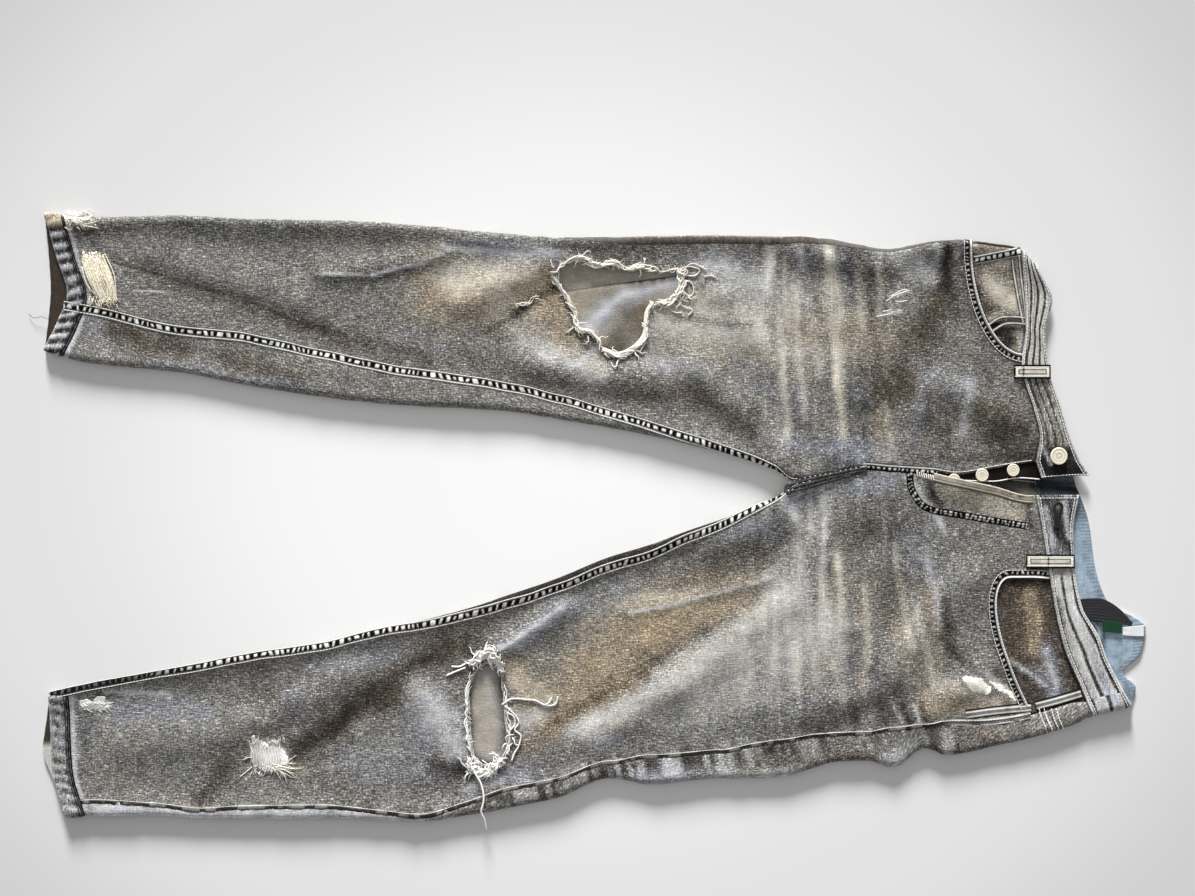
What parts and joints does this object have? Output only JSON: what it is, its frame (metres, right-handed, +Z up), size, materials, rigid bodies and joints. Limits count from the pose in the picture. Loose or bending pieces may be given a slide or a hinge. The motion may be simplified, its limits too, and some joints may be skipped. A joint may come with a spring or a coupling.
{
  "type": "ripped jeans",
  "caption": "Slim grey-brown washed jeans with torn knees, a button fly and turned hems, laid flat on their back with the fly open.",
  "frame": {"origin": "centre of the footprint of the garment, on the surface that it lies on", "axes": "+X from the hems to the waistband, +Y from the left leg to the wearer's right leg, +Z up out of the front of the garment"},
  "size_m": [1.1016, 0.6086, 0.0152],
  "materials": {
    "grey_denim": "washed and worn grey-brown twill, matt",
    "dark_denim": "unworn near-black twill, matt",
    "pale_cotton": "pale plain-woven cotton tape",
    "dark_woven_label": "dark woven label tape, no print",
    "pale_brass": "worn pale brass, satin"
  },
  "bodies": {
    "root": {"back_left": "grey_denim", "back_right": "grey_denim", "belt_loop_left": "grey_denim", "belt_loop_right": "grey_denim", "care_tab": "pale_cotton", "coin_pocket": "grey_denim", "fly_button_1": "pale_brass", "fly_button_2": "pale_brass", "fly_button_3": "pale_brass", "fly_shield": "dark_denim", "front_left": "grey_denim", "front_right": "grey_denim", "hem_left": "grey_denim", "hem_right": "grey_denim", "label": "dark_woven_label", "pocket_facing_left": "grey_denim", "pocket_facing_right": "grey_denim", "size_tab": "dark_woven_label", "waist_button": "pale_brass", "waistband": "grey_denim", "yoke_left": "grey_denim", "yoke_right": "grey_denim"}
  },
  "joints": []
}
